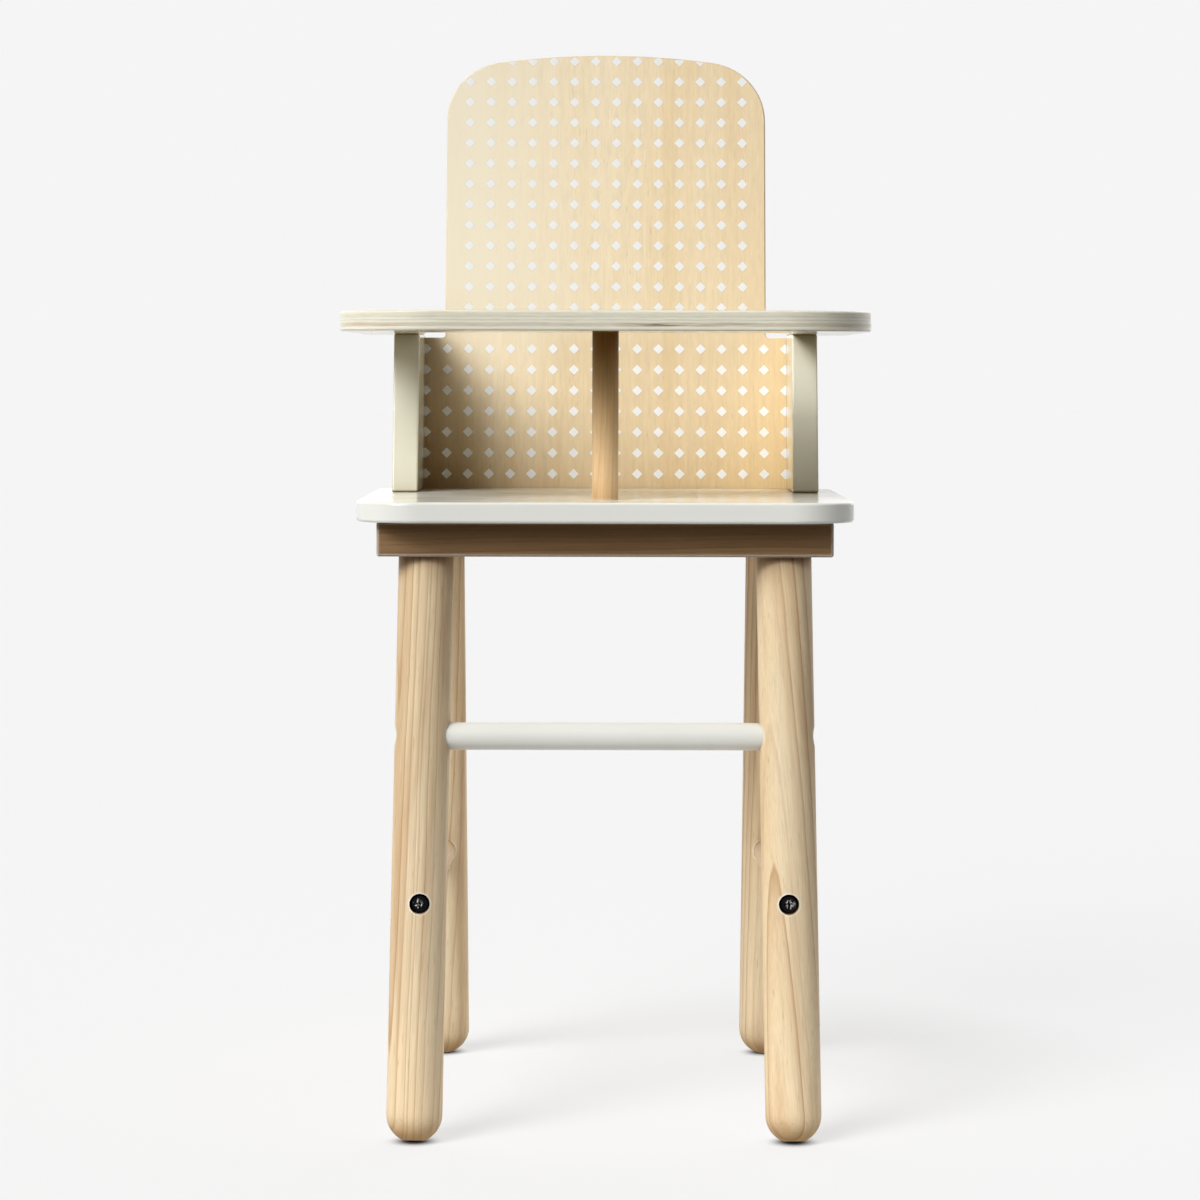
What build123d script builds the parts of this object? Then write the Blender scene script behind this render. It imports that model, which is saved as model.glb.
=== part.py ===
from build123d import *
from math import acos, cos, radians, sin, sqrt, tan
import os

# Doll high chair, millimetres. X runs across the chair, Y from its front to its back and Z up.
# Right is +X, as seen from the front. Depths are counted from the front edge of the seat board
# and heights from the floor. At the end the chair is moved so that the middle of the box round
# it, on the floor, is the origin.

# Width over the armrests, which the rails and the foot of the backrest share
body_width = 205.2

# Seat board, painted all round
seat_top = 284.0
seat_thickness = 9.4
seat_side_overhang = 9.8
seat_depth = 196.5
seat_front_radius = 28.0
seat_rear_radius = 12.0
seat_edge_round = 1.4

# Cross rails under the seat board
rail_height = 15.5
rail_setback = 15.0
front_rail_depth = 32.0
rear_rail_depth = 52.0
rail_edge_bevel = 0.7

# Backrest panel, which leans against the rear edges of the seat board, the armrests and the
# rear rail. Its height is counted from the seat, and its recline is in degrees.
backrest_height = 217.3
backrest_recline = 10.8
backrest_thickness = 9.0
backrest_side_room = 10.1
backrest_corner_radius = 30.5
backrest_crown_radius = 390.0
backrest_foot_radius = 4.0
backrest_edge_bevel = 0.6
shoulder_room = 1.3
shoulder_inner_radius = 1.5
shoulder_outer_radius = 5.0

# Armrests, two upright boards between the seat board and the tray
arm_thickness = 12.4
arm_height = 76.2
arm_length_low = 62.9
arm_length_high = 55.4
arm_edge_round = 1.0

# Tray, a plywood board with a bay at the back for the doll
tray_thickness = 9.1
tray_side_overhang = 18.0
tray_front_overhang = 2.0
tray_rear_overhang = 12.4
tray_bar_depth = 94.0
tray_front_radius = 45.0
tray_rear_radius = 12.0
tray_bay_radius = 20.0
tray_edge_round = 1.0

# Post between the seat board and the tray, placed from the rear face of the front rail
post_diameter = 12.0
post_inset = 7.6

# Round legs, which lean towards each other at the top as seen from the side. Their tops are
# placed from the ends and the front faces of the rails, and their feet from their tops.
leg_diameter = 25.0
leg_side_inset = 21.6
front_leg_inset = 17.0
rear_leg_inset = 15.8
leg_splay = 48.3
front_leg_spread = 3.5
rear_leg_spread = -0.5
foot_height = 11.5
foot_pad_diameter = 9.8
foot_rim_round = 1.5

# Stretchers. The side ones sit a little inside the middle lines of the legs.
side_stretcher_diameter = 12.0
side_stretcher_height = 105.6
side_stretcher_inset = 1.0
front_stretcher_diameter = 12.4
front_stretcher_drop = 81.0
socket_depth = 3.0

# Screws, all with the same pan head and cross recess
screw_diameter = 4.0
head_diameter = 8.4
head_height = 2.6
head_bevel = 0.8
recess_length = 4.6
recess_width = 1.1
recess_depth = 1.5
head_bore_diameter = 9.1
head_bore_depth = 3.6
leg_bore_depth = 4.0
stretcher_screw_length = 35.0
backrest_screw_length = 25.0
long_screw_length = 40.0
rail_screw_length = 17.0

# Where the screws go
rail_screw_x = 45.0
backrest_screw_x = 60.0
backrest_screw_rise = 7.0
arm_screw_inset = 12.0
arm_back_screw_rise = 30.0
arm_back_screw_drop = 22.5

# Hanger bolts in the leg tops and the threaded inserts that take them
bolt_diameter = 6.0
bolt_length_in_leg = 25.0
bolt_length_in_insert = 9.0
insert_diameter = 9.0
insert_length = 10.0
insert_sink = 1.0

# Glued wooden pins between the tray and what carries it
pin_diameter = 6.0
pin_length_up = 6.0
pin_length_down = 12.0
pin_inset = 12.0
pin_spacing = 22.0

# Room round what is pushed or screwed in, how far a cut runs past a face, and how near a
# corner is looked for
fit = 0.1
overrun = 2.0
near = 0.01

# Heights, widths and angles that follow
seat_underside = seat_top - seat_thickness
rail_underside = seat_underside - rail_height
tray_underside = seat_top + arm_height
screw_start = rail_underside + head_bore_depth
arm_gap = body_width - 2 * arm_thickness
arm_middle_x = (body_width - arm_thickness) / 2
seat_width = body_width + 2 * seat_side_overhang
tray_width = body_width + 2 * tray_side_overhang
leg_radius = leg_diameter / 2
recline = radians(backrest_recline)


def back_y(height):
    """Depth of the backrest's front face at a height."""
    return seat_depth + (height - seat_top) * tan(recline)


# Depths that follow
front_rail_rear = rail_setback + front_rail_depth
rear_rail_front = back_y(rail_underside) - rear_rail_depth
post_y = front_rail_rear - post_inset
arm_front_low = seat_depth - arm_length_low
arm_front_high = back_y(tray_underside) - arm_length_high
tray_depth = back_y(tray_underside) + tray_rear_overhang + tray_front_overhang


def up_panel(height):
    """Distance up the backrest's front face from the seat to a height."""
    return (height - seat_top) / cos(recline)


def back_plane():
    """The backrest's front face, with X across it, Y up it and Z out to the front."""
    return Plane((0, seat_depth, seat_top), x_dir=(1, 0, 0), z_dir=(0, -cos(recline), sin(recline)))


def mirrored(piece):
    """The same piece on the other side of the chair."""
    return mirror(piece, Plane.YZ)


def rod(start, end, diameter):
    """A plain cylinder from one point to another."""
    run = end - start
    bar = Cylinder(diameter / 2, run.length, align=(Align.CENTER, Align.CENTER, Align.MIN))
    return Plane(start, z_dir=run) * bar


def corners(outline, x, y):
    """The corners of a symmetric outline that lie at a place on either side."""
    return [v for v in outline.vertices() if abs(abs(v.X) - x) < near and abs(v.Y - y) < near]


def rims(board):
    """The edges round the upper and lower faces of a board that lies flat."""
    faces = board.faces().sort_by(Axis.Z)
    return faces[0].edges() + faces[-1].edges()


def screw(length):
    """A screw that points along +Z, with the underside of its head at zero."""
    head = Cylinder(head_diameter / 2, head_height, align=(Align.CENTER, Align.CENTER, Align.MAX))
    head = chamfer(head.edges().group_by(Axis.Z)[0], head_bevel)
    slot = Box(recess_length, recess_width, recess_depth, align=(Align.CENTER, Align.CENTER, Align.MIN))
    slot = Pos(0, 0, -head_height) * slot
    shank = Cylinder(screw_diameter / 2, length, align=(Align.CENTER, Align.CENTER, Align.MIN))
    return head - slot - Rot(0, 0, 90) * slot + shank


def screw_bore(length):
    """What a screw takes out of the wood. The head's bore runs back further than any leg is thick."""
    head = Cylinder(head_bore_diameter / 2, leg_diameter, align=(Align.CENTER, Align.CENTER, Align.MAX))
    shank_radius = screw_diameter / 2 + fit
    shank = Cylinder(shank_radius, length + fit, align=(Align.CENTER, Align.CENTER, Align.MIN))
    return head + shank


def leg_axis(top_y, spread, splay):
    """The line of a right-hand leg, from the floor to the underside of its rail."""
    top_x = body_width / 2 - leg_side_inset
    return Vector(top_x + spread, top_y + splay, 0), Vector(top_x, top_y, rail_underside)


def on_axis(axis, height):
    """The point of a leg's line at a height."""
    foot, top = axis
    return foot + (top - foot) * (height / rail_underside)


front_axis = leg_axis(rail_setback + front_leg_inset, front_leg_spread, -leg_splay)
rear_axis = leg_axis(rear_rail_front + rear_leg_inset, rear_leg_spread, leg_splay)
side_front = on_axis(front_axis, side_stretcher_height) - Vector(side_stretcher_inset, 0, 0)
side_rear = on_axis(rear_axis, side_stretcher_height) - Vector(side_stretcher_inset, 0, 0)
cross_right = on_axis(front_axis, rail_underside - front_stretcher_drop)
cross_left = Vector(-cross_right.X, cross_right.Y, cross_right.Z)


def leg_screw_place(near_leg, far_leg):
    """Where the screw goes that holds a stretcher to the first of two legs."""
    run = (far_leg - near_leg).normalized()
    return Plane(near_leg - run * (leg_radius - leg_bore_depth), z_dir=run).location


def stretcher_socket(near_leg, far_leg, diameter):
    """The shallow socket that a stretcher's end sits in."""
    run = (far_leg - near_leg).normalized()
    floor = near_leg + run * (leg_radius - socket_depth)
    return rod(floor, near_leg + run * leg_diameter, diameter + 2 * fit)


def bolt_end(axis, distance):
    """The point of a leg's line at a distance above the underside of its rail."""
    foot, top = axis
    return top + (top - foot).normalized() * distance


# Places of the screws on the right-hand side; the left-hand ones mirror them
stretcher_places = [
    leg_screw_place(side_front, side_rear),
    leg_screw_place(side_rear, side_front),
    leg_screw_place(cross_right, cross_left),
]
arm_screw_place = Pos(arm_middle_x, rear_rail_front + arm_screw_inset, screw_start)
rail_screw_place = Pos(rail_screw_x, front_rail_rear - front_rail_depth / 2, screw_start)
post_screw_place = Pos(0, post_y, screw_start)


def back_screw_place(x, height):
    """Where a screw goes in through the back of the backrest."""
    return back_plane().location * Pos(x, up_panel(height), head_bore_depth - backrest_thickness)


backrest_places = [
    back_screw_place(backrest_screw_x, rail_underside + backrest_screw_rise),
    back_screw_place(arm_middle_x, seat_top + arm_back_screw_rise),
    back_screw_place(arm_middle_x, tray_underside - arm_back_screw_drop),
]
pin_places = [
    Pos(arm_middle_x, arm_front_high + pin_inset, tray_underside),
    Pos(arm_middle_x, arm_front_high + pin_inset + pin_spacing, tray_underside),
]
post_pin_place = Pos(0, post_y, tray_underside)


def placed(places, tool):
    """One copy of a tool or a fastener at each place on the right and at its mirror image."""
    right = [place * tool for place in places]
    return right + [mirrored(piece) for piece in right]


def pin(room):
    """A wooden pin, or its hole where it has room, with zero at the underside of the tray."""
    length = pin_length_up + pin_length_down + 2 * room
    body = Cylinder(pin_diameter / 2 + room, length, align=(Align.CENTER, Align.CENTER, Align.MIN))
    return Pos(0, 0, -pin_length_down - room) * body


def seat_board():
    """The seat, with wide front corners and a rear edge that leans with the backrest."""
    outline = Pos(0, seat_depth / 2) * Rectangle(seat_width, seat_depth)
    outline = fillet(corners(outline, seat_width / 2, 0), seat_front_radius)
    outline = fillet(corners(outline, seat_width / 2, seat_depth), seat_rear_radius)
    board = extrude(outline, seat_thickness)
    board = Pos(0, 0, seat_underside) * fillet(rims(board), seat_edge_round)
    board = split(board, back_plane(), keep=Keep.TOP)
    board -= placed([arm_screw_place], screw_bore(long_screw_length))
    board -= placed([rail_screw_place], screw_bore(rail_screw_length))
    return board - post_screw_place * screw_bore(long_screw_length)


def insert_holes(axis):
    """The two leaning holes that take the threaded inserts of one rail."""
    hole = rod(bolt_end(axis, -overrun), bolt_end(axis, insert_sink + insert_length + fit),
               insert_diameter + 2 * fit)
    return [hole, mirrored(hole)]


def front_rail():
    """The rail seen under the front of the seat, which the front legs stand against."""
    rail = Box(body_width, front_rail_depth, rail_height, align=(Align.CENTER, Align.MIN, Align.MIN))
    rail = Pos(0, rail_setback, rail_underside) * chamfer(rail.edges(), rail_edge_bevel)
    rail -= placed([rail_screw_place], screw_bore(rail_screw_length))
    rail -= insert_holes(front_axis)
    return rail - post_screw_place * screw_bore(long_screw_length)


def rear_rail():
    """The wider rail at the back, whose rear face leans with the backrest."""
    depth = back_y(seat_underside) + overrun - rear_rail_front
    rail = Box(body_width, depth, rail_height, align=(Align.CENTER, Align.MIN, Align.MIN))
    rail = split(Pos(0, rear_rail_front, rail_underside) * rail, back_plane(), keep=Keep.TOP)
    rail = chamfer(rail.edges(), rail_edge_bevel)
    rail -= placed([arm_screw_place], screw_bore(long_screw_length))
    rail -= placed(backrest_places[:1], screw_bore(backrest_screw_length))
    return rail - insert_holes(rear_axis)


def backrest_panel():
    """The backrest: broad behind the armrests, stepped in at the shoulders, crowned at the top."""
    foot = up_panel(rail_underside)
    shoulder = up_panel(tray_underside - shoulder_room)
    top = up_panel(seat_top + backrest_height)
    wide = body_width / 2
    slim = arm_gap / 2 - backrest_side_room
    side_top = top - backrest_crown_radius + sqrt(backrest_crown_radius**2 - slim**2)
    right = [(slim, side_top), (slim, shoulder), (wide, shoulder), (wide, foot)]
    left = [(-x, y) for x, y in reversed(right)]
    crown = ThreePointArc((-slim, side_top), (0, top), (slim, side_top))
    outline = make_face([Polyline(*right, *left), crown])
    outline = fillet(corners(outline, slim, side_top), backrest_corner_radius)
    outline = fillet(corners(outline, slim, shoulder), shoulder_inner_radius)
    outline = fillet(corners(outline, wide, shoulder), shoulder_outer_radius)
    outline = fillet(corners(outline, wide, foot), backrest_foot_radius)
    panel = extrude(outline, -backrest_thickness)
    panel = back_plane() * chamfer(rims(panel), backrest_edge_bevel)
    return panel - placed(backrest_places, screw_bore(backrest_screw_length))


def armrest():
    """The right-hand armrest, whose front edge leans back further than its rear edge."""
    profile = Polyline(
        (arm_front_low, seat_top),
        (arm_front_high, tray_underside),
        (back_y(tray_underside), tray_underside),
        (seat_depth, seat_top),
        close=True,
    )
    board = extrude(Plane.YZ * make_face(profile), arm_thickness)
    board = Pos(arm_gap / 2, 0, 0) * fillet(board.edges(), arm_edge_round)
    board -= arm_screw_place * screw_bore(long_screw_length)
    board -= [place * screw_bore(backrest_screw_length) for place in backrest_places[1:]]
    return board - [place * pin(fit) for place in pin_places]


def tray_board():
    """The tray: a bar across the front and a wing over each armrest, with the doll's bay between."""
    outline = Pos(0, tray_depth / 2) * Rectangle(tray_width, tray_depth)
    bay = Pos(0, tray_bar_depth) * Rectangle(arm_gap, tray_depth, align=(Align.CENTER, Align.MIN))
    outline -= bay
    outline = fillet(corners(outline, tray_width / 2, 0), tray_front_radius)
    outline = fillet(corners(outline, arm_gap / 2, tray_bar_depth), tray_bay_radius)
    outline = fillet(corners(outline, tray_width / 2, tray_depth), tray_rear_radius)
    outline = fillet(corners(outline, arm_gap / 2, tray_depth), tray_rear_radius)
    board = extrude(outline, tray_thickness)
    board = Pos(0, -tray_front_overhang, tray_underside) * fillet(rims(board), tray_edge_round)
    return board - placed(pin_places, pin(fit)) - post_pin_place * pin(fit)


def tray_post():
    """The round post between the seat and the front bar of the tray."""
    post = Cylinder(post_diameter / 2, arm_height, align=(Align.CENTER, Align.CENTER, Align.MIN))
    post = Pos(0, post_y, seat_top) * post
    post -= post_screw_place * screw_bore(long_screw_length)
    return post - post_pin_place * pin(fit)


def bare_leg(axis):
    """A leg with its rounded foot, cut level where it meets the rail."""
    foot, top = axis
    run = top - foot
    lean = acos(run.Z / run.length)
    pad = foot_pad_diameter / 2
    toe_width = leg_radius - pad
    toe_radius = (foot_height**2 + toe_width**2) / (2 * toe_width)
    rim = leg_radius - toe_radius + sqrt((toe_radius - foot_rim_round)**2 - (foot_height - foot_rim_round)**2)
    lift = foot_rim_round * (1 - cos(lean)) + rim * sin(lean)
    length = run.length + leg_diameter
    straight = Polyline((pad, 0), (0, 0), (0, length), (leg_radius, length), (leg_radius, foot_height))
    toe = TangentArc((leg_radius, foot_height), (pad, 0), tangent=(0, -1))
    stick = revolve(Plane.XZ * make_face([straight, toe]), Axis.Z)
    stick = fillet(stick.edges().group_by(Axis.Z)[0], foot_rim_round)
    stick = Plane(on_axis(axis, lift), z_dir=run) * stick
    stick = split(stick, Plane.XY.offset(rail_underside), keep=Keep.BOTTOM)
    return stick - rod(bolt_end(axis, -bolt_length_in_leg - fit), bolt_end(axis, overrun),
                       bolt_diameter + 2 * fit)


def front_leg():
    """The right-hand front leg, which takes a side stretcher and the front stretcher."""
    piece = bare_leg(front_axis)
    piece -= stretcher_places[0] * screw_bore(stretcher_screw_length)
    piece -= stretcher_socket(side_front, side_rear, side_stretcher_diameter)
    piece -= stretcher_places[2] * screw_bore(stretcher_screw_length)
    return piece - stretcher_socket(cross_right, cross_left, front_stretcher_diameter)


def rear_leg():
    """The right-hand rear leg, which takes a side stretcher."""
    piece = bare_leg(rear_axis) - stretcher_places[1] * screw_bore(stretcher_screw_length)
    return piece - stretcher_socket(side_rear, side_front, side_stretcher_diameter)


def stretcher(start_leg, end_leg, diameter):
    """A round stretcher between two legs, without its screw holes."""
    run = (end_leg - start_leg).normalized()
    reach = leg_radius - socket_depth + fit
    return rod(start_leg + run * reach, end_leg - run * reach, diameter)


def side_stretcher():
    """The right-hand stretcher, from the front leg back to the rear leg."""
    bar = stretcher(side_front, side_rear, side_stretcher_diameter)
    return bar - [place * screw_bore(stretcher_screw_length) for place in stretcher_places[:2]]


def front_stretcher():
    """The painted stretcher between the front legs."""
    bar = stretcher(cross_right, cross_left, front_stretcher_diameter)
    return bar - placed(stretcher_places[2:], screw_bore(stretcher_screw_length))


def leg_bolt(axis):
    """A hanger bolt, from inside the leg up into the rail's insert."""
    end = bolt_end(axis, insert_sink + bolt_length_in_insert)
    return rod(bolt_end(axis, -bolt_length_in_leg), end, bolt_diameter)


def rail_insert(axis):
    """A threaded insert in a rail, round the top of the hanger bolt."""
    start = bolt_end(axis, insert_sink)
    end = bolt_end(axis, insert_sink + insert_length)
    return rod(start, end, insert_diameter) - rod(start, end, bolt_diameter + 2 * fit)


def build_nodes():
    """Every piece of the chair, by name."""
    bolts = [leg_bolt(axis) for axis in (front_axis, rear_axis)]
    inserts = [rail_insert(axis) for axis in (front_axis, rear_axis)]
    pairs = {
        "front_leg": front_leg(),
        "rear_leg": rear_leg(),
        "side_stretcher": side_stretcher(),
        "armrest": armrest(),
    }
    nodes = {
        "seat_board": seat_board(),
        "front_rail": front_rail(),
        "rear_rail": rear_rail(),
        "backrest_panel": backrest_panel(),
        "tray_board": tray_board(),
        "tray_post": tray_post(),
        "front_stretcher": front_stretcher(),
        "stretcher_screws": Compound(placed(stretcher_places, screw(stretcher_screw_length))),
        "backrest_screws": Compound(placed(backrest_places, screw(backrest_screw_length))),
        "armrest_screws": Compound(placed([arm_screw_place], screw(long_screw_length))),
        "post_screw": post_screw_place * screw(long_screw_length),
        "rail_screws": Compound(placed([rail_screw_place], screw(rail_screw_length))),
        "leg_bolts": Compound(bolts + [mirrored(bolt) for bolt in bolts]),
        "rail_inserts": Compound(inserts + [mirrored(insert) for insert in inserts]),
        "tray_pins": Compound(placed(pin_places, pin(0)) + [post_pin_place * pin(0)]),
    }
    for name, piece in pairs.items():
        nodes[f"{name}_right"] = piece
        nodes[f"{name}_left"] = mirrored(piece)
    return nodes


nodes = build_nodes()
footprint = Compound(list(nodes.values())).bounding_box().center()
os.makedirs("parts", exist_ok=True)
for name, piece in nodes.items():
    export_step(Pos(0, -footprint.Y, 0) * piece, f"parts/{name}.step")
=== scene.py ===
import math

import bpy
from mathutils import Matrix, Vector


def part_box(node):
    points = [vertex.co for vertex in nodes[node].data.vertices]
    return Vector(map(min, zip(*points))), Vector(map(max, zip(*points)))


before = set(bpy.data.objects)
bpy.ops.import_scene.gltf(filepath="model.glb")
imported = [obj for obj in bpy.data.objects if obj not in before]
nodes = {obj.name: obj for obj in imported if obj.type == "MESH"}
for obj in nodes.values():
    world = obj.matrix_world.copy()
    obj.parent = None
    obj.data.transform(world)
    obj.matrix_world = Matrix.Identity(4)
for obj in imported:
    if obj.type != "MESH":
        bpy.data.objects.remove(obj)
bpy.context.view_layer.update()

# The camera, well in front of the chair and a little above the seat.

camera_place = (0.00047, -1.7415, 0.3438)
camera_turn = 0.094
camera_pitch = -3.615
camera_roll = 0.116
camera_lens = 110.23
sensor_width = 36.0


def make_camera():
    data = bpy.data.cameras.new("camera")
    data.lens = camera_lens
    data.sensor_width = sensor_width
    data.sensor_fit = "HORIZONTAL"
    camera = bpy.data.objects.new("camera", data)
    bpy.context.scene.collection.objects.link(camera)
    turn = Matrix.Rotation(math.radians(camera_turn), 4, "Z")
    pitch = Matrix.Rotation(math.radians(90 + camera_pitch), 4, "X")
    roll = Matrix.Rotation(math.radians(camera_roll), 4, "Z")
    camera.matrix_world = Matrix.Translation(camera_place) @ turn @ pitch @ roll
    bpy.context.scene.camera = camera


make_camera()

# Helpers for colours and shader nodes.

noise_low = 0.3
noise_high = 0.7
edge_samples = 4
edge_bend = (0.01, 0.12)
# Painted shade in creases: the rays that look for nearby pieces, and the openness over which it fades
# out.
crease_shade_samples = 6
crease_shade_cover = (0.25, 0.85)
white = (1.0, 1.0, 1.0, 1.0)


def linear(level):
    """A screen colour level from 0 to 255 as scene light."""
    share = level / 255
    if share <= 0.04045:
        return share / 12.92
    return ((share + 0.055) / 1.055) ** 2.4


def colour(red, green, blue):
    """A screen colour as the value of a colour socket."""
    return linear(red), linear(green), linear(blue), 1.0


class Finish:
    """A procedural material, or the surroundings, put together node by node."""

    def __init__(self, name, world=False):
        kind = bpy.data.worlds if world else bpy.data.materials
        self.material = kind.new(name)
        self.material.use_nodes = True
        self.nodes = self.material.node_tree.nodes
        self.links = self.material.node_tree.links
        self.nodes.clear()
        self.place = self.node("ShaderNodeTexCoord").outputs["Object"]
        self.facing = self.node("ShaderNodeNewGeometry").outputs["Normal"]

    def set(self, socket, value):
        if isinstance(value, bpy.types.NodeSocket):
            self.links.new(value, socket)
        else:
            socket.default_value = value

    def node(self, kind, sockets=None, **settings):
        made = self.nodes.new(kind)
        for key, value in settings.items():
            setattr(made, key, value)
        for key, value in (sockets or {}).items():
            self.set(made.inputs[key], value)
        return made

    def math(self, operation, first, second=0.0):
        made = self.node("ShaderNodeMath", {0: first, 1: second}, operation=operation)
        return made.outputs[0]

    def joined(self, operation, *parts):
        """Several values put together by one operation."""
        whole = parts[0]
        for part in parts[1:]:
            whole = self.math(operation, whole, part)
        return whole

    def product(self, *parts):
        return self.joined("MULTIPLY", *parts)

    def vector(self, operation, first, second):
        made = self.node("ShaderNodeVectorMath", {0: first, 1: second}, operation=operation)
        return made.outputs[0]

    def along(self, vector, direction):
        """How far a vector reaches along a direction."""
        sockets = {0: vector, 1: direction}
        made = self.node("ShaderNodeVectorMath", sockets, operation="DOT_PRODUCT")
        return made.outputs["Value"]

    def length(self, vector):
        made = self.node("ShaderNodeVectorMath", {0: vector}, operation="LENGTH")
        return made.outputs["Value"]

    def split(self, vector):
        """The x, y and z of a vector."""
        return self.node("ShaderNodeSeparateXYZ", {0: vector}).outputs

    def stretch(self, vector, x, y, z):
        return self.vector("MULTIPLY", vector, (x, y, z))

    def noise(self, vector, scale, detail=2.0, roughness=0.5):
        """Noise by its waves to the metre, its detail and its roughness."""
        sockets = {"Vector": vector, "Scale": scale, "Detail": detail, "Roughness": roughness}
        return self.node("ShaderNodeTexNoise", sockets).outputs[0]

    def streaks(self, vector, squeeze, scale, detail=2.0, roughness=0.5):
        """Noise that is drawn out along z, the more the smaller the squeeze."""
        return self.noise(self.stretch(vector, 1.0, 1.0, squeeze), scale, detail, roughness)

    def wander(self, vector, squeeze, scale, reach):
        """A vector that drifts about its place by up to a reach, slowly along z."""
        drawn = self.stretch(vector, 1.0, 1.0, squeeze)
        sockets = {"Vector": drawn, "Scale": scale, "Detail": 1.0}
        cloud = self.node("ShaderNodeTexNoise", sockets).outputs[1]
        drift = self.vector("SUBTRACT", cloud, (0.5, 0.5, 0.5))
        return self.vector("MULTIPLY", drift, (reach, reach, reach))

    def range(self, value, low, high, new_low=0.0, new_high=1.0):
        sockets = {0: value, 1: low, 2: high, 3: new_low, 4: new_high}
        return self.node("ShaderNodeMapRange", sockets).outputs[0]

    def spread(self, cloud, low, high):
        """Noise, which lies mostly between its low and high level, brought between two values."""
        return self.range(cloud, noise_low, noise_high, low, high)

    def within(self, value, low, rise, fall, high):
        """One between two middle values, fading out to zero at the outer two."""
        return self.product(self.range(value, low, rise), self.range(value, high, fall))

    def ramp(self, value, stops):
        made = self.node("ShaderNodeValToRGB", {0: value})
        band = made.color_ramp
        while len(band.elements) < len(stops):
            band.elements.new(1.0)
        for element, (position, shade) in zip(band.elements, stops):
            element.position = position
            element.color = shade
        return made.outputs[0]

    def mix(self, factor, first, second, blend="MIX"):
        made = self.node("ShaderNodeMix", data_type="RGBA", blend_type=blend)
        self.set(made.inputs[0], factor)
        self.set(made.inputs[6], first)
        self.set(made.inputs[7], second)
        return made.outputs[2]

    def grey(self, level):
        return self.node("ShaderNodeCombineColor", {0: level, 1: level, 2: level}).outputs[0]

    def shade(self, base, level):
        """A colour made lighter or darker by a level."""
        return self.mix(1.0, base, self.grey(level), "MULTIPLY")

    def edges(self, radius):
        """One near the edges of the piece, and zero on its faces."""
        rounded = self.node("ShaderNodeBevel", {"Radius": radius}, samples=edge_samples).outputs[0]
        bend = self.math("SUBTRACT", 1.0, self.along(rounded, self.facing))
        return self.range(bend, *edge_bend)

    def rub(self, base, width, share, bare):
        """A colour that gives way to another along the edges of the piece, by a share."""
        return self.mix(self.product(self.edges(width), share), base, bare)

    def cover(self, reach, samples):
        """How open a place is: less than one where something near closes it in."""
        made = self.node("ShaderNodeAmbientOcclusion", {"Distance": reach}, samples=samples)
        return made.outputs["AO"]

    def add_painted_shade(self, base, reach, tint):
        """Painted shade: a colour that grows deeper and warmer where other pieces close it in."""
        dark = self.mix(1.0, base, tint, "MULTIPLY")
        return self.mix(self.range(self.cover(reach, crease_shade_samples), *crease_shade_cover), dark, base)

    def rays(self):
        """One for what the eye sees by itself, and one for what mirrors and glass show."""
        path = self.node("ShaderNodeLightPath").outputs
        mirrored = self.math("MAXIMUM", path["Is Glossy Ray"], path["Is Transmission Ray"])
        return path["Is Camera Ray"], mirrored

    def bump(self, height, depth, before=None):
        made = self.node("ShaderNodeBump", {"Height": height, "Distance": depth})
        if before is not None:
            self.set(made.inputs["Normal"], before)
        return made.outputs[0]

    def surface(self, base, roughness, normal, **values):
        shader = self.node("ShaderNodeBsdfPrincipled")
        self.set(shader.inputs["Base Color"], base)
        self.set(shader.inputs["Roughness"], roughness)
        self.set(shader.inputs["Normal"], normal)
        for key, value in values.items():
            self.set(shader.inputs[key.replace("_", " ")], value)
        self.node("ShaderNodeOutputMaterial", {"Surface": shader.outputs[0]})
        return self.material


# Painted wood: each paint is its light tone, its dark tone and its roughness.

# The seat's white is made lighter than the same paint elsewhere, as painted light; the arms' white is
# creamier and darker, partly its own colour and partly painted shade.
seat_paint_painted_light = (colour(254, 254, 247), colour(250, 250, 242), 0.14)
arm_paint_cream_and_shade = (colour(234, 231, 212), colour(230, 226, 206), 0.13)
bar_paint = (colour(246, 246, 239), colour(242, 242, 234), 0.42)
paint_thin = colour(241, 232, 208)
# Painted shade where other pieces close the paint in: its tint and its reach.
paint_crease_shade = (0.34, 0.26, 0.16, 1.0)
paint_crease_shade_reach = 0.026
paint_cloud = (24.0, 3.0)
paint_specks = (700.0, 2.0)
paint_speck_range = (0.35, 0.7)
paint_wear_width = 0.0007
paint_peel = (650.0, 2.0)
paint_peel_depth = 0.00001
paint_swell = (80.0, 1.0)
paint_swell_depth = 0.00005
paint_gloss_range = (0.25, 0.75)
paint_glossier = 0.03
paint_duller = 0.04


def white_paint(name, light, dark, roughness):
    """Satin off-white paint, a little thinner along the edges of the wood, with painted shade where other
    pieces close it in.
    """
    made = Finish(name)
    cloud = made.noise(made.place, *paint_cloud)
    tone = made.ramp(cloud, [(noise_low, dark), (noise_high, light)])
    specks = made.range(made.noise(made.place, *paint_specks), *paint_speck_range)
    thinned = made.rub(tone, paint_wear_width, specks, paint_thin)
    # Painted shade in the creases of the paint.
    base = made.add_painted_shade(thinned, paint_crease_shade_reach, paint_crease_shade)
    peel = made.bump(made.noise(made.place, *paint_peel), paint_peel_depth)
    normal = made.bump(made.noise(made.place, *paint_swell), paint_swell_depth, peel)
    gloss = made.range(cloud, *paint_gloss_range, roughness - paint_glossier, roughness + paint_duller)
    return made.surface(base, gloss, normal)


# Plywood: face veneers, and the layers that show on the edges.

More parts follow.
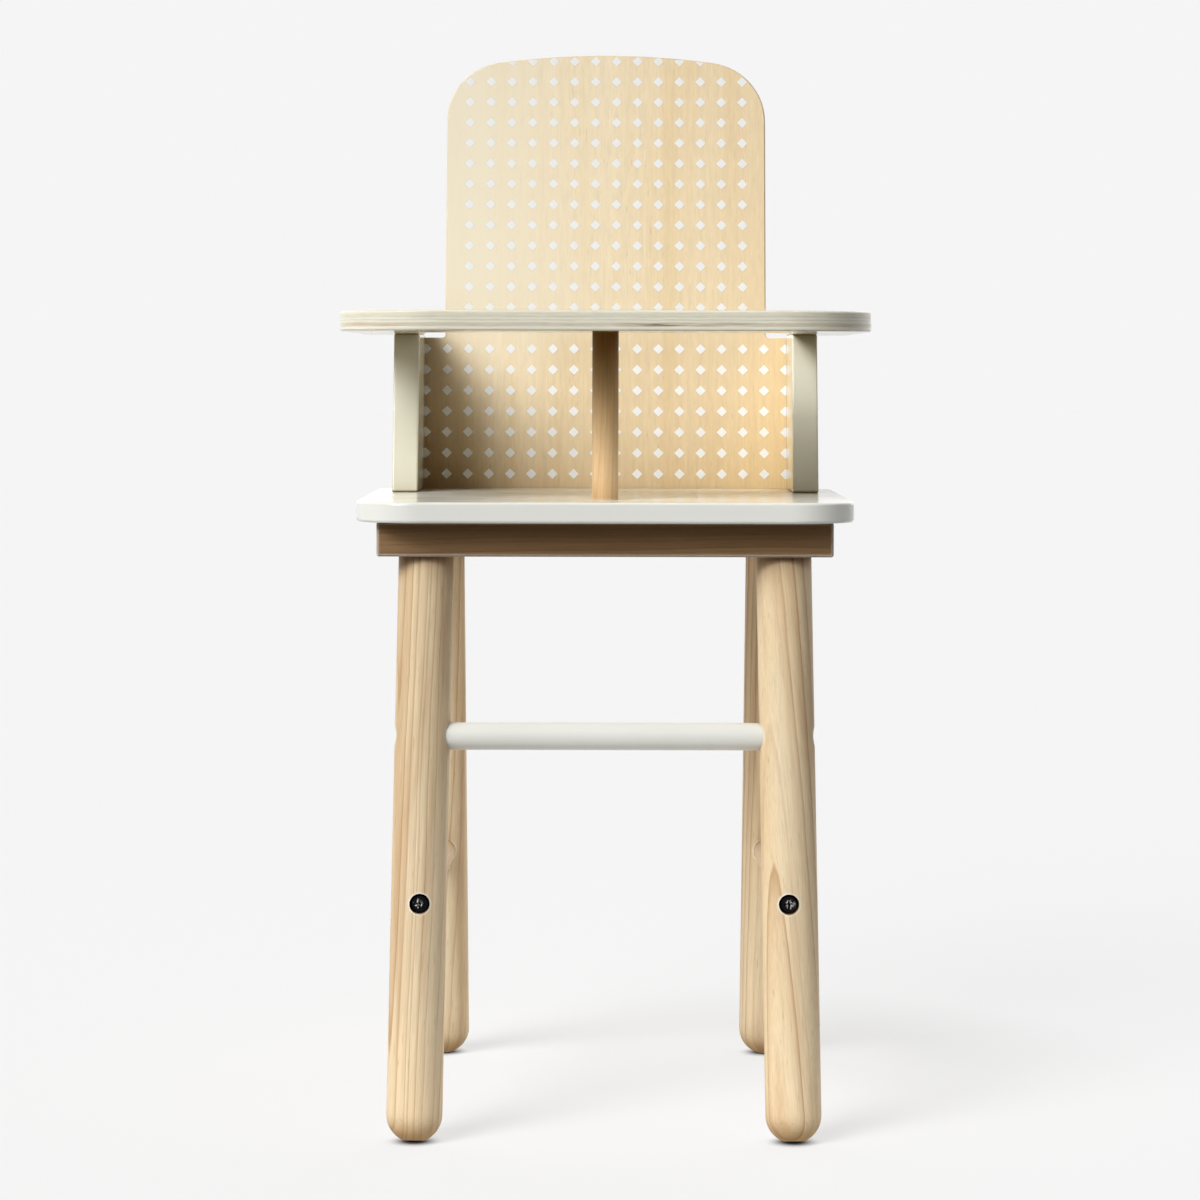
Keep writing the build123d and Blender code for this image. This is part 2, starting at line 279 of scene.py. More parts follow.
veneer_drift = (0.25, 16.0, 0.006)
broad_squeeze = 0.04
broad_grain = (3.0, 0.6)
veneer_fibre = (0.03, 1500.0, 3.0, 0.65)
veneer_fibre_shades = (0.955, 1.035)
veneer_mottle = (0.22, 420.0, 3.0, 0.7)
veneer_mottle_shades = (0.965, 1.055)
veneer_dashes = (0.1, 1300.0, 1.0)
veneer_fleck_range = (0.7, 0.8, 0.0, 0.35)
veneer_fleck = colour(200, 164, 120)
layer_streaks = (1.0, 3.0, 0.6)
layer_shades = (0.93, 1.08)
glue_line = 0.12
face_turn = (0.6, 0.8)
plywood_wear_width = 0.0006


def veneer(made, place, tones, streak_width):
    """Pale face veneer with its grain along z: broad streaks, fine fibres and short flecks."""
    moved = made.vector("ADD", place, made.wander(place, *veneer_drift))
    broad = made.streaks(moved, broad_squeeze, 1 / streak_width, *broad_grain)
    tone = made.ramp(broad, tones)
    mottle = made.streaks(moved, *veneer_mottle)
    tone = made.shade(tone, made.spread(mottle, *veneer_mottle_shades))
    fibre = made.streaks(moved, *veneer_fibre)
    tone = made.shade(tone, made.spread(fibre, *veneer_fibre_shades))
    flecks = made.range(made.streaks(moved, *veneer_dashes), *veneer_fleck_range)
    return made.mix(flecks, tone, veneer_fleck), fibre


def layers(made, depth, run, stops):
    """The edges of the veneers: bands through the thickness, streaked along the edge."""
    bands = made.ramp(depth, stops)
    return made.shade(bands, made.spread(made.noise(run, *layer_streaks), *layer_shades))


def layer_stops(light, dark, count):
    """Colour stops of a stack of veneers, light and dark in turn with a glue line between."""
    stops = []
    for index in range(count):
        shade = light if index % 2 == 0 else dark
        stops.append(((index + glue_line) / count, shade))
        stops.append(((index + 1 - glue_line) / count, shade))
    return stops


def on_faces(made, across):
    """One on the two faces of a board that is flat across a direction, and zero on its edges."""
    flatness = made.math("ABSOLUTE", made.along(made.facing, across))
    return made.range(flatness, *face_turn)


# The backrest, measured from where its front meets the top of the seat.

seat_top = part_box("seat_board")[1].z
recline = math.radians(10.8)
panel_up = Vector((0.0, math.sin(recline), math.cos(recline)))
panel_front = Vector((0.0, -math.cos(recline), math.sin(recline)))
panel_foot = Vector((0.0, 0.08643, seat_top))
panel_thickness = 0.009
panel_layer_count = 7
panel_layer_light = colour(238, 214, 178)
panel_layer_dark = colour(205, 170, 128)
panel_edge_run = (90.0, 1500.0, 90.0)
panel_tones = [
    (0.3, colour(251, 230, 192)),
    (0.5, colour(254, 236, 202)),
    (0.7, colour(250, 228, 188)),
]
panel_streak_width = 0.02
panel_drift = (0.3, 14.0, 1.0)
panel_drift_reach = 0.08
# Painted light: a paler glare up on the left of the backrest.
panel_painted_glare = colour(255, 245, 220)
glare_aside = (0.0, -0.075, 0.0, 0.85)
glare_rise = (0.05, 0.1)
# Painted shade: the backrest darker and warmer low on the left, in the shadow beside the left arm.
panel_lower_shade = (0.89, 0.84, 0.77, 1.0)
lower_shade_rise = (0.09, 0.07)
lower_shade_aside = (-0.06, -0.03)
# Painted shade: warmer and darker towards the right, as the light falls off away from the lamp on the
# left.
panel_right_shade = (0.95, 0.9, 0.82, 1.0)
right_shade_aside = (0.0, 0.08)
# Painted shade in the backrest's corners: deepest on the left beside the arm, lightest and warm on the
# right.
panel_crease_reach = 0.06
panel_crease_span = 0.075
panel_crease_shades = [
    (0.02, (0.28, 0.16, 0.05, 1.0)),
    (0.2, (0.6, 0.46, 0.29, 1.0)),
    (0.45, (0.8, 0.68, 0.51, 1.0)),
    (0.75, (0.8, 0.67, 0.47, 1.0)),
    (1.0, (1.0, 0.9, 0.7, 1.0)),
]
panel_rubbed = colour(214, 182, 140)
panel_rub_share = 0.25
panel_fibre_depth = 0.00002
panel_roughness = 0.5
panel_fibre_roughness = (-0.05, 0.05)
panel_specular = 0.15

# The print on the backrest: rows of diamonds that stand on their points.

diamond_pitch = 0.01054
diamond_reach = 0.00262
diamond_blur = 0.00006
diamond_rim = 0.0005
first_row = 0.0178
print_start = 0.002
shoulder_height = 0.0785
upper_reach = 7 * diamond_pitch
lower_reach = 9 * diamond_pitch
front_turn = 0.9
print_white = colour(255, 255, 254)
print_rim = colour(206, 180, 148)
print_rim_share = 0.3
print_specks = (900.0, 2.0)
print_fade = (0.3, 0.6, 0.9, 1.0)
print_depth = 0.00003
print_roughness = 0.38


def panel_wood(made, across, rise, flat):
    """Vertical veneer, with painted light making it paler up on the left, painted shade making it amber
    on the right and darker low on the left, and painted shade deeper in its corners.
    """
    wood, fibre = veneer(made, flat, panel_tones, panel_streak_width)
    drift = made.math("SUBTRACT", made.streaks(flat, *panel_drift), 0.5)
    aside = made.math("ADD", across, made.product(drift, panel_drift_reach))
    # Painted light: paler up on the left, where the lamp's glare falls.
    pale = made.product(made.range(aside, *glare_aside), made.range(rise, *glare_rise))
    wood = made.mix(pale, wood, panel_painted_glare)
    # Painted shade low on the left, where the arm's shadow falls.
    low = made.range(rise, *lower_shade_rise)
    wood = made.mix(made.product(low, made.range(aside, *lower_shade_aside)), wood, panel_lower_shade, "MULTIPLY")
    # Painted shade towards the right, away from the lamp.
    right_shade = made.product(made.range(aside, *right_shade_aside), made.math("SUBTRACT", 1.0, low))
    wood = made.mix(right_shade, wood, panel_right_shade, "MULTIPLY")
    # Painted shade in the corners, by how far across the backrest a place lies.
    crease = made.ramp(made.range(across, -panel_crease_span, panel_crease_span), panel_crease_shades)
    return made.add_painted_shade(wood, panel_crease_reach, crease), fibre


def panel_print(made, across, rise):
    """The diamonds on the front of the backrest, and a thin rim round each."""
    column = made.math("FRACT", made.math("DIVIDE", across, diamond_pitch))
    beside = made.math("ABSOLUTE", made.math("SUBTRACT", column, 0.5))
    first_edge = first_row - diamond_pitch / 2
    row = made.math("FRACT", made.math("DIVIDE", made.math("SUBTRACT", rise, first_edge), diamond_pitch))
    above = made.math("ABSOLUTE", made.math("SUBTRACT", row, 0.5))
    reach = made.product(made.math("ADD", beside, above), diamond_pitch)
    diamond = made.range(reach, diamond_reach + diamond_blur, diamond_reach - diamond_blur)
    ring = made.math("SUBTRACT", made.range(reach, diamond_reach + diamond_rim, diamond_reach), diamond)

    below_shoulder = made.math("LESS_THAN", rise, shoulder_height)
    limit = made.range(below_shoulder, 0.0, 1.0, upper_reach, lower_reach)
    inside = made.math("LESS_THAN", made.math("ABSOLUTE", across), limit)
    started = made.math("GREATER_THAN", rise, print_start)
    front = made.math("GREATER_THAN", made.along(made.facing, panel_front), front_turn)
    printed = made.product(inside, started, front)
    return made.product(diamond, printed), made.product(ring, printed)


def printed_plywood():
    """The backrest: vertical veneer, white diamonds on its front, and layered edges."""
    made = Finish("printed_plywood")
    across = made.split(made.place)[0]
    from_foot = made.vector("SUBTRACT", made.place, panel_foot)
    rise = made.along(from_foot, panel_up)
    proud = made.along(from_foot, panel_front)
    flat = made.node("ShaderNodeCombineXYZ", {0: across, 1: proud, 2: rise}).outputs[0]
    wood, fibre = panel_wood(made, across, rise, flat)
    ink, rim = panel_print(made, across, rise)
    wood = made.mix(made.product(rim, print_rim_share), wood, print_rim)
    fade = made.range(made.noise(made.place, *print_specks), *print_fade)
    face = made.mix(made.product(ink, fade), wood, print_white)

    depth = made.math("DIVIDE", made.product(proud, -1.0), panel_thickness)
    stops = layer_stops(panel_layer_light, panel_layer_dark, panel_layer_count)
    edge = layers(made, depth, made.stretch(flat, *panel_edge_run), stops)
    base = made.mix(on_faces(made, panel_front), edge, face)
    base = made.rub(base, plywood_wear_width, panel_rub_share, panel_rubbed)

    normal = made.bump(ink, print_depth, made.bump(fibre, panel_fibre_depth))
    rough = made.range(ink, 0.0, 1.0, panel_roughness, print_roughness)
    rough = made.math("ADD", rough, made.spread(fibre, *panel_fibre_roughness))
    return made.surface(base, rough, normal, Specular_IOR_Level=panel_specular)


# The tray: its grain runs across the chair, and its layers are counted from its underside.

tray_low, tray_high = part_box("tray_board")
tray_tones = [
    (0.3, colour(236, 222, 190)),
    (0.5, colour(241, 230, 201)),
    (0.7, colour(245, 236, 211)),
]
tray_streak_width = 0.016
tray_layers = [
    (0.00, colour(238, 230, 206)),
    (0.04, colour(254, 250, 232)),
    (0.18, colour(254, 250, 232)),
    (0.215, colour(234, 227, 203)),
    (0.30, colour(226, 218, 194)),
    (0.385, colour(234, 227, 204)),
    (0.42, colour(253, 249, 230)),
    (0.48, colour(250, 245, 226)),
    (0.515, colour(232, 226, 205)),
    (0.55, colour(242, 237, 218)),
    (0.60, colour(254, 251, 234)),
    (0.635, colour(248, 243, 223)),
    (0.665, colour(234, 228, 204)),
    (0.75, colour(244, 238, 215)),
    (0.84, colour(246, 240, 218)),
    (0.875, colour(252, 247, 227)),
    (0.96, colour(253, 249, 230)),
    (1.00, colour(234, 227, 205)),
]
tray_sag = (0.0, 40.0, 2.0)
tray_sag_share = 0.07
tray_edge_run = (45.0, 45.0, 1400.0)
tray_hair_run = (160.0, 160.0, 5000.0)
tray_hair = (1.0, 2.0, 0.7)
tray_hair_shades = (0.35, 0.65, 0.95, 1.12)
brown_layer = (0.2, 0.24, 0.37, 0.41)
brown_run = (60.0, 60.0, 2600.0)
brown_thin = (0.42, 0.6)
brown_span = (0.002, 0.014, 0.045, 0.075)
brown_share = 0.75
brown_streak = colour(122, 98, 68)
orange_patches = (0.0, 26.0, 1.0)
orange_patch_range = (0.52, 0.62)
orange_share = 0.55
orange_streak = colour(222, 178, 134)
tray_rubbed = colour(222, 200, 160)
tray_rub_share = 0.2
tray_edge_roughness = (0.3, 0.4)
tray_face_roughness = (0.1, 0.14)
tray_fibre_depth = 0.000004
tray_specular = 0.4


def tray_edge(made):
    """Pale and grey layers with hair lines, a brown streak near the middle and orange patches."""
    across, _, height = made.split(made.place)
    uneven = made.product(made.math("SUBTRACT", made.streaks(made.place, *tray_sag), 0.5), tray_sag_share)
    depth = made.math("ADD", made.range(height, tray_low.z, tray_high.z), uneven)
    edge = layers(made, depth, made.stretch(made.place, *tray_edge_run), tray_layers)
    hair = made.noise(made.stretch(made.place, *tray_hair_run), *tray_hair)
    edge = made.shade(edge, made.range(hair, *tray_hair_shades))
    thin = made.range(made.noise(made.stretch(made.place, *brown_run), 1.0), *brown_thin)
    stained = made.product(made.within(depth, *brown_layer), thin)
    brown = made.product(stained, made.within(across, *brown_span), brown_share)
    edge = made.mix(brown, edge, brown_streak)
    patches = made.range(made.streaks(made.place, *orange_patches), *orange_patch_range)
    return made.mix(made.product(stained, patches, orange_share), edge, orange_streak)


def tray_plywood():
    """The tray: cream veneer on its faces, and layers round its edge."""
    made = Finish("tray_plywood")
    turned = made.node("ShaderNodeMapping", {"Vector": made.place, "Rotation": (0.0, math.pi / 2, 0.0)})
    wood, fibre = veneer(made, turned.outputs[0], tray_tones, tray_streak_width)
    on_face = on_faces(made, (0.0, 0.0, 1.0))
    base = made.mix(on_face, tray_edge(made), wood)
    base = made.rub(base, plywood_wear_width, tray_rub_share, tray_rubbed)
    satin = made.spread(fibre, *tray_edge_roughness)
    gloss = made.spread(fibre, *tray_face_roughness)
    rough = made.range(on_face, 0.0, 1.0, satin, gloss)
    return made.surface(base, rough, made.bump(fibre, tray_fibre_depth), Specular_IOR_Level=tray_specular)


# Solid wood: growth rings round a pith that lies outside the piece.

# Painted shade: the post grows darker up towards the tray, whose shadow falls on it.
tray_shade_above_seat = 0.01
tray_shade_below_tray = 0.0022
pine = {
    "name": "pine",
    "early": colour(241, 220, 184),
    "late": colour(186, 140, 94),
    "contrast": 1.0,
    "roughness": 0.56,
}
post = {
    "name": "dowel",
    "early": colour(250, 220, 176),
    "late": colour(214, 170, 118),
    "contrast": 0.6,
    "roughness": 0.5,
    "tray_shaded": (seat_top + tray_shade_above_seat, tray_low.z - tray_shade_below_tray),
}
birch = {
    "name": "dowel",
    "early": colour(228, 196, 152),
    "late": colour(190, 148, 100),
    "contrast": 0.6,
    "roughness": 0.5,
}
# The rails' wood is darker than the legs' pine: partly its own brown, and partly painted shade for the
# shadow under the seat.
rail = {
    "name": "rail",
    "early": colour(156, 124, 89),
    "late": colour(120, 88, 56),
    "contrast": 0.9,
    "roughness": 0.6,
}
growth_of_a_year = [(0.0, 0.0), (0.35, 0.06), (0.75, 0.4), (0.92, 1.0), (0.99, 0.0)]
weakest_year = 0.2
strongest_year = 0.85
ring_drift = (0.18, 34.0, 0.006)
ring_waver = (0.12, 300.0, 0.0006)
ring_crowding = 2.4
ring_crowding_scale = 0.45
seed_step = Vector((1.7, 0.9, 2.3))
stain_streaks = (0.1, 60.0, 2.0)
stain_range = (0.35, 0.65)
stain_tint = (0.97, 0.92, 0.85)
patch_streaks = (0.06, 120.0, 2.0)
patch_range = (0.5, 0.66)
patch_share = 0.35
wood_fibre = (0.02, 2600.0, 2.0, 0.6)
wood_fibre_shades = (0.9, 1.08)
wood_dashes = (0.07, 1500.0, 1.0)
wood_fleck_range = (0.68, 0.78, 0.0, 0.45)
# Painted highlight: a pale rim along the edges of the solid wood.
wood_edge_highlight = colour(255, 254, 242)
wood_edge_highlight_width = 0.0016
wood_edge_highlight_share = 0.85
# Painted shade where other pieces close the wood in.
wood_crease_shade = (0.5, 0.38, 0.25, 1.0)
wood_crease_shade_reach = 0.03
tray_shade = (0.3, 0.2, 0.06, 1.0)
ring_depth = 0.00003
wood_fibre_depth = 0.000015
ring_gloss = 0.08
wood_specular = 0.15


def fibre_frame(axis, tilt):
    """Two directions across a piece and one along its fibres, tilted against its middle line."""
    foot, top = axis
    along = (top - foot).normalized()
    side = Vector((1, 0, 0)) if abs(along.x) < 0.9 else Vector((0, 1, 0))
    third = along.cross(side).normalized()
    side = third.cross(along).normalized()
    turn = Matrix.Rotation(math.radians(tilt), 3, third) @ Matrix((side, third, along)).transposed()
    return side, third, turn


def rings(made, axis, pith_angle, pith_distance, pith_tilt, pitch, seed):
    """How many rings lie between a place and the pith, and coordinates along the fibres."""
    side, third, turn = fibre_frame(axis, pith_tilt)
    angle = math.radians(pith_angle)
    middle = (axis[0] + axis[1]) / 2
    pith = middle + (side * math.cos(angle) + third * math.sin(angle)) * pith_distance
    back = turn.transposed()
    sockets = {
        "Vector": made.place,
        "Location": tuple(-(back @ pith)),
        "Rotation": tuple(back.to_euler("XYZ")),
    }
    own = made.node("ShaderNodeMapping", sockets).outputs[0]
    seeded = made.vector("ADD", own, seed_step * seed)
    bent = made.vector("ADD", own, made.wander(seeded, *ring_drift))
    bent = made.vector("ADD", bent, made.wander(seeded, *ring_waver))
    radius = made.length(made.stretch(bent, 1.0, 1.0, 0.0))
    count = made.math("DIVIDE", radius, pitch)
    sockets = {"W": count, "Scale": ring_crowding_scale, "Detail": 2.0}
    crowding = made.node("ShaderNodeTexNoise", sockets, noise_dimensions="1D").outputs[0]
    return made.math("ADD", count, made.product(crowding, ring_crowding)), seeded


def late_wood(made, count, contrast):
    """How dark each place in the rings is: each year darkens slowly, ends sharply, and differs."""
    stops = [(position, (level, level, level, 1.0)) for position, level in growth_of_a_year]
    growth = made.ramp(made.math("FRACT", count), stops)
    number = made.math("FLOOR", count)
    vigour = made.node("ShaderNodeTexWhiteNoise", {"W": number}, noise_dimensions="1D").outputs[0]
    strength = made.range(vigour, 0.0, 1.0, contrast * weakest_year, contrast * strongest_year)
    return made.product(growth, strength)


def warm(shade):
    """A slightly deeper and warmer version of a colour."""
    red, green, blue = (level * share for level, share in zip(shade, stain_tint))
    return red, green, blue, 1.0


def solid_wood(node, axis, wood, figure):
    """Planed wood with rings, warmer streaks, fibres and short dark flecks, with painted highlight as
    pale rims on its edges and painted shade in its creases.
    """
    made = Finish(wood["name"] + "_" + node)
    early, late, contrast = wood["early"], wood["late"], wood["contrast"]
    count, own = rings(made, axis, *figure)
    dark = late_wood(made, count, contrast)
    light = made.mix(made.range(made.streaks(own, *stain_streaks), *stain_range), early, warm(early))
    patch = made.range(made.streaks(own, *patch_streaks), *patch_range, 0.0, contrast * patch_share)
    light = made.mix(patch, light, late)
    tone = made.mix(dark, light, late)
    fibre = made.streaks(own, *wood_fibre)
    tone = made.shade(tone, made.spread(fibre, *wood_fibre_shades))
    flecks = made.range(made.streaks(own, *wood_dashes), *wood_fleck_range)
    base = made.mix(flecks, tone, late)
    # Painted highlight along the edges.
    base = made.rub(base, wood_edge_highlight_width, wood_edge_highlight_share, wood_edge_highlight)
    # Painted shade from the tray, darker up the post.
    if "tray_shaded" in wood:
        height = made.split(made.place)[2]
        base = made.mix(made.range(height, *wood["tray_shaded"]), base, tray_shade, "MULTIPLY")
    # Painted shade in the creases of the wood.
    base = made.add_painted_shade(base, wood_crease_shade_reach, wood_crease_shade)
    normal = made.bump(fibre, wood_fibre_depth, made.bump(dark, ring_depth))
    rough = made.range(dark, 0.0, 1.0, wood["roughness"], wood["roughness"] - ring_gloss)
    return made.surface(base, rough, normal, Specular_IOR_Level=wood_specular)


# Each wooden piece, its wood, and the angle, distance and tilt of its pith, its ring pitch and seed.

wooden = [
    ("front_leg_left", pine, (205.0, 0.03, 1.4, 0.0032, 11)),
    ("front_leg_right", pine, (231.0, 0.03, -5.0, 0.006, 25)),
    ("rear_leg_left", pine, (200.0, 0.05, 3.0, 0.0055, 3)),
    ("rear_leg_right", pine, (300.0, 0.06, 1.6, 0.0045, 4)),
    ("tray_post", post, (40.0, 0.03, 1.0, 0.0022, 5)),
    ("side_stretcher_left", birch, (100.0, 0.03, 1.0, 0.0022, 6)),
    ("side_stretcher_right", birch, (160.0, 0.03, 1.0, 0.0022, 7)),
    ("tray_pins", birch, (220.0, 0.03, 1.0, 0.0022, 8)),
    ("front_rail", rail, (80.0, 0.05, 1.0, 0.0024, 9)),
    ("rear_rail", rail, (80.0, 0.05, 1.0, 0.0024, 10)),
]
run_of_bar = {
    "tray_post": 2,
    "side_stretcher_left": 1,
    "side_stretcher_right": 1,
    "front_stretcher": 0,
    "tray_pins": 2,
    "front_rail": 0,
    "rear_rail": 0,
}
leg_radius = 0.0125
leg_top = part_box("front_rail")[0].z


def leg_axis(node):
    """The middle line of a leg, read from the corners of its box. The foot stands further out."""
    low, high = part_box(node)
    outward = 1 if low.x + high.x > 0 else -1
    foot_x, top_x = (high.x, low.x) if outward > 0 else (low.x, high.x)
    foot_x -= outward * leg_radius
    top_x += outward * leg_radius
    foot_y, top_y = low.y + leg_radius, high.y - leg_radius
    if node.startswith("rear"):
        foot_y, top_y = top_y, foot_y
    return Vector((foot_x, foot_y, 0)), Vector((top_x, top_y, leg_top))


def bar_axis(node):
    """The middle line of a straight bar along x, y or z."""
    low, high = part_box(node)
    middle = (low + high) / 2
    half = Vector([(high - low)[i] / 2 if i == run_of_bar[node] else 0 for i in range(3)])
    return middle - half, middle + half


# Metal.

black_plating = colour(4, 4, 5)
# Painted glint: white spots on the screws' edges.
painted_glint = colour(254, 254, 254)
recess_reach = 0.0024
recess_fade = 0.0004
black_cloud = (900.0, 3.0)
black_glints = (1000.0, 1.0)
black_glint_range = (0.46, 0.48)
black_glint_width = 0.0012
black_dents = (800.0, 1.0)
black_dent_depth = 0.0003
black_roughness = (0.14, 0.22)
black_specular = 0.1
zinc_cloud = (500.0, 3.0)
zinc_tones = [(0.3, colour(170, 172, 174)), (0.7, colour(205, 206, 204))]
zinc_rubbed = colour(232, 232, 228)
zinc_rub_share = 0.7
zinc_wear_width = 0.0004
zinc_roughness = (0.25, 0.45)
zinc_depth = 0.00001


def near_lines(made, middles):
    """One within the reach of a screw's recess from any of the middle lines."""
    reaches = []
    for point, across in middles:
        apart = made.vector("SUBTRACT", made.place, point)
        reaches.append(made.length(made.vector("MULTIPLY", apart, across)))
    nearest = made.joined("MINIMUM", *reaches)
    return made.range(nearest, recess_reach, recess_reach - recess_fade)


def black_steel(name, middles=()):
    """Glossy black screws with white spots of painted glint along their edges, only near the middle lines
    where these are given.
    """
    made = Finish(name)
    # Painted glint: white spots near the edges of the recesses.
    glints = made.range(made.noise(made.place, *black_glints), *black_glint_range)
    glint_mask = made.product(made.edges(black_glint_width), glints)
    if middles:
        glint_mask = made.product(glint_mask, near_lines(made, middles))
    base = made.mix(glint_mask, black_plating, painted_glint)
    rough = made.spread(made.noise(made.place, *black_cloud), *black_roughness)
    dents = made.noise(made.place, *black_dents)
    normal = made.bump(made.product(dents, glint_mask), black_dent_depth)
    return made.surface(base, rough, normal, Specular_IOR_Level=black_specular)


def zinc_steel():
    """Bright zinc plating with a faint blotchy crystal look."""
    made = Finish("zinc_steel")
    cloud = made.noise(made.place, *zinc_cloud)
    base = made.rub(made.ramp(cloud, zinc_tones), zinc_wear_width, zinc_rub_share, zinc_rubbed)
    rough = made.spread(cloud, *zinc_roughness)
    return made.surface(base, rough, made.bump(cloud, zinc_depth), Metallic=1.0)


def stretcher_screw_middles():
    """A point on each line of stretcher screws, and which directions lead away from the line."""
    middles = [(bar_axis("front_stretcher")[0], (0.0, 1.0, 1.0))]
    for side in ("left", "right"):
        height = bar_axis("side_stretcher_" + side)[0].z
        foot, top = leg_axis("front_leg_" + side)
        middles.append((foot.lerp(top, height / top.z), (1.0, 0.0, 1.0)))
    return middles


# The finishes go on the pieces.


def finish_of(node, material):
    """Puts a material on a node in place of the plain one it came with."""
    mesh = nodes[node].data
    mesh.materials.clear()
    mesh.materials.append(material)


def dress_boards():
    finish_of("seat_board", white_paint("white_paint_seat", *seat_paint_painted_light))
    arms = white_paint("white_paint_arms", *arm_paint_cream_and_shade)
    finish_of("armrest_left", arms)
    finish_of("armrest_right", arms)
    finish_of("front_stretcher", white_paint("white_paint_bar", *bar_paint))
    finish_of("backrest_panel", printed_plywood())
    finish_of("tray_board", tray_plywood())


def dress_wood():
    for node, wood, figure in wooden:
        axis = bar_axis(node) if node in run_of_bar else leg_axis(node)
        finish_of(node, solid_wood(node, axis, wood, figure))


def dress_metal():
    finish_of("stretcher_screws", black_steel("black_steel_stretchers", stretcher_screw_middles()))
    steel = black_steel("black_screw_steel")
    for node in ("backrest_screws", "armrest_screws", "post_screw", "rail_screws"):
        finish_of(node, steel)
    zinc = zinc_steel()
    for node in ("leg_bolts", "rail_inserts"):
        finish_of(node, zinc)


dress_boards()
dress_wood()
dress_metal()

# The floor: a zone is the place where it starts and the place where it is whole.

background = linear(245)
floor_size = 60.0
floor_light = 0.84
near_tone = 0.32
far_tone = 0.1
tone_reach = (0.2, 0.3)
# Painted shade on the floor close round the feet.
contact_shade_reach = 0.03
contact_shade_samples = 8
contact_shade_cover = (0.1, 0.6)
between_zone = (0.4, 0.3)
rear_zone = (0.3, 0.4)
near_zone = (0.4, 0.3)
ahead_zone = (-0.35, -0.25)
left_zone = (-0.3, -0.4)
rear_glow = 1.0
near_glow = 0.73
left_glow = 0.52


def floor_view(made):
    """The floor as the eye and mirrors see it: a pale glow that takes a soft shadow, and painted shade
    where the chair's feet close it in.
    """
    tone = made.range(made.length(made.place), *tone_reach, near_tone, far_tone)
    # Painted contact shade round the feet.
    contact_shade = made.range(made.cover(contact_shade_reach, contact_shade_samples), *contact_shade_cover)
    lit = made.node("ShaderNodeBsdfDiffuse", {"Color": made.grey(made.product(tone, contact_shade))})
    glow = made.math("SUBTRACT", background, made.product(tone, floor_light))
    pale = made.node("ShaderNodeEmission", {"Color": white, "Strength": made.product(glow, contact_shade)})
    return made.node("ShaderNodeAddShader", {0: lit.outputs[0], 1: pale.outputs[0]}).outputs[0]


def floor_bounce(made):
    """The light that the floor throws back at the chair from behind, from below and from the left."""
    x, y, _ = made.split(made.place)
    between = made.range(made.math("ABSOLUTE", x), *between_zone)
    ahead = made.range(y, *ahead_zone)
    rear = made.product(made.range(y, *rear_zone, 0.0, rear_glow), between)
    near = made.product(made.range(y, *near_zone, 0.0, near_glow), ahead, between)
    left = made.product(made.range(x, *left_zone, 0.0, left_glow), ahead)
    glow = made.joined("ADD", rear, near, left)
    return made.node("ShaderNodeEmission", {"Color": white, "Strength": glow}).outputs[0]


def make_floor():
    """A plain pale floor without end, which takes the shadow of the chair."""
    half = floor_size / 2
    corners = [(-half, -half, 0), (half, -half, 0), (half, half, 0), (-half, half, 0)]
    mesh = bpy.data.meshes.new("floor")
    mesh.from_pydata(corners, [], [(0, 1, 2, 3)])
    floor = bpy.data.objects.new("floor", mesh)
    bpy.context.scene.collection.objects.link(floor)
    made = Finish("floor")
    seen = made.math("MAXIMUM", *made.rays())
    both = made.node("ShaderNodeMixShader", {0: seen, 1: floor_bounce(made), 2: floor_view(made)})
    made.node("ShaderNodeOutputMaterial", {"Surface": both.outputs[0]})
    mesh.materials.append(made.material)


# The surroundings: a zone is the angle from the front where it starts and where it is whole.

low_band_top = 30
behind_zone = (128, 132)
right_zone = (58, 62)
right_end = (132, 128)
backdrop_zone = (95, 105)
rear_band = 1.5
right_band = 1.14


def zone(made, angle, edge, strength=1.0):
    """A strength inside a zone of directions, with a narrow soft edge."""
    return made.range(angle, math.radians(edge[0]), math.radians(edge[1]), 0.0, strength)


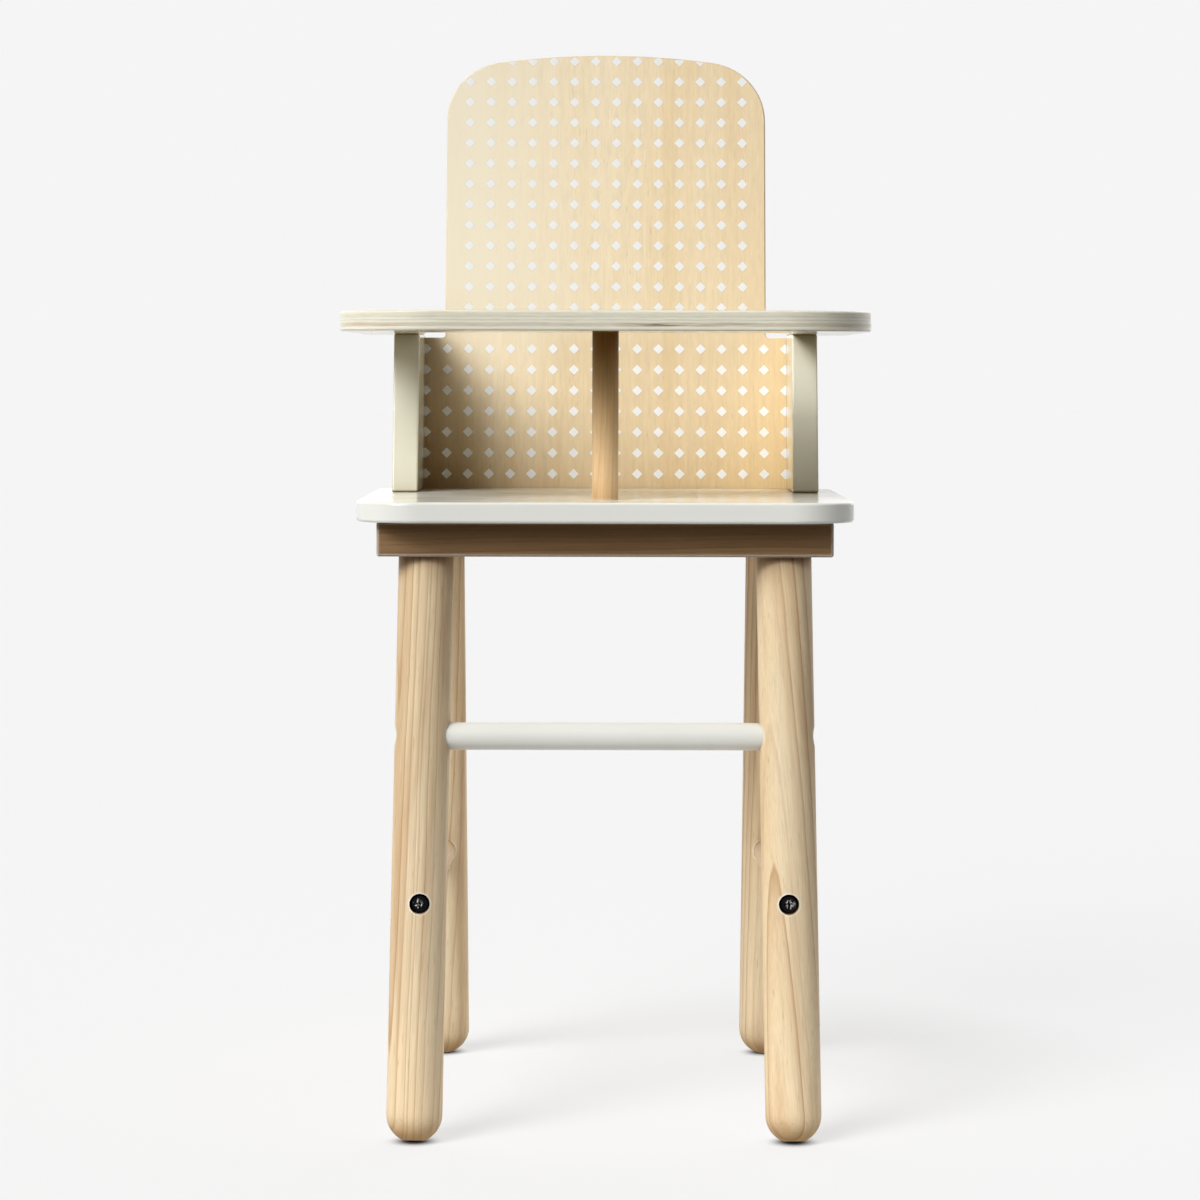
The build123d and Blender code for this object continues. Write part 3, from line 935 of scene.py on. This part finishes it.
def sky_light(made, turn, aside, z):
    """The strength of the soft light that comes in low from behind and from the right."""
    top = math.sin(math.radians(low_band_top))
    low = made.product(made.math("GREATER_THAN", z, 0.0), made.math("LESS_THAN", z, top))
    behind = zone(made, aside, behind_zone, rear_band)
    right = made.product(zone(made, turn, right_zone, right_band), zone(made, turn, right_end))
    return made.product(low, made.math("ADD", behind, right))


def make_world():
    """A plain pale view for the eye, a pale backdrop for mirrors, and soft light for the chair."""
    made = Finish("world", world=True)
    x, y, z = made.split(made.node("ShaderNodeTexCoord").outputs["Generated"])
    turn = made.math("ARCTAN2", x, made.product(y, -1.0))
    aside = made.math("ABSOLUTE", turn)
    plain = (background, background, background, 1.0)
    shown = [
        (white, sky_light(made, turn, aside, z)),
        (plain, zone(made, aside, backdrop_zone)),
        (plain, 1.0),
    ]
    fill, mirror, view = [
        made.node("ShaderNodeBackground", {"Color": tint, "Strength": strength}).outputs[0]
        for tint, strength in shown
    ]
    seen, mirrored = made.rays()
    unseen = made.node("ShaderNodeMixShader", {0: mirrored, 1: fill, 2: mirror}).outputs[0]
    both = made.node("ShaderNodeMixShader", {0: seen, 1: unseen, 2: view})
    made.node("ShaderNodeOutputWorld", {"Surface": both.outputs[0]})
    bpy.context.scene.world = made.material


# Broad far lights: the angle from the front to the right, the height, the spread and the strength.

lights = {
    "key_high": (-39, 43, 28, 1.3),
    "key_low": (-48, 35, 28, 1.06),
    "key_side": (-30, 27, 28, 0.84),
    "rear_right": (145, 12, 60, 0.67),
    "rear_left": (-150, 12, 60, 0.3),
}


def make_light(name, angle, height, spread, strength):
    data = bpy.data.lights.new(name, "SUN")
    data.energy = strength
    data.angle = math.radians(spread)
    light = bpy.data.objects.new(name, data)
    bpy.context.scene.collection.objects.link(light)
    around, up = math.radians(angle), math.radians(height)
    towards = Vector((math.sin(around) * math.cos(up), -math.cos(around) * math.cos(up), math.sin(up)))
    light.rotation_mode = "QUATERNION"
    light.rotation_quaternion = towards.to_track_quat("Z", "Y")


make_floor()
make_world()
for name, values in lights.items():
    make_light(name, *values)

bpy.context.scene.view_settings.view_transform = "Standard"
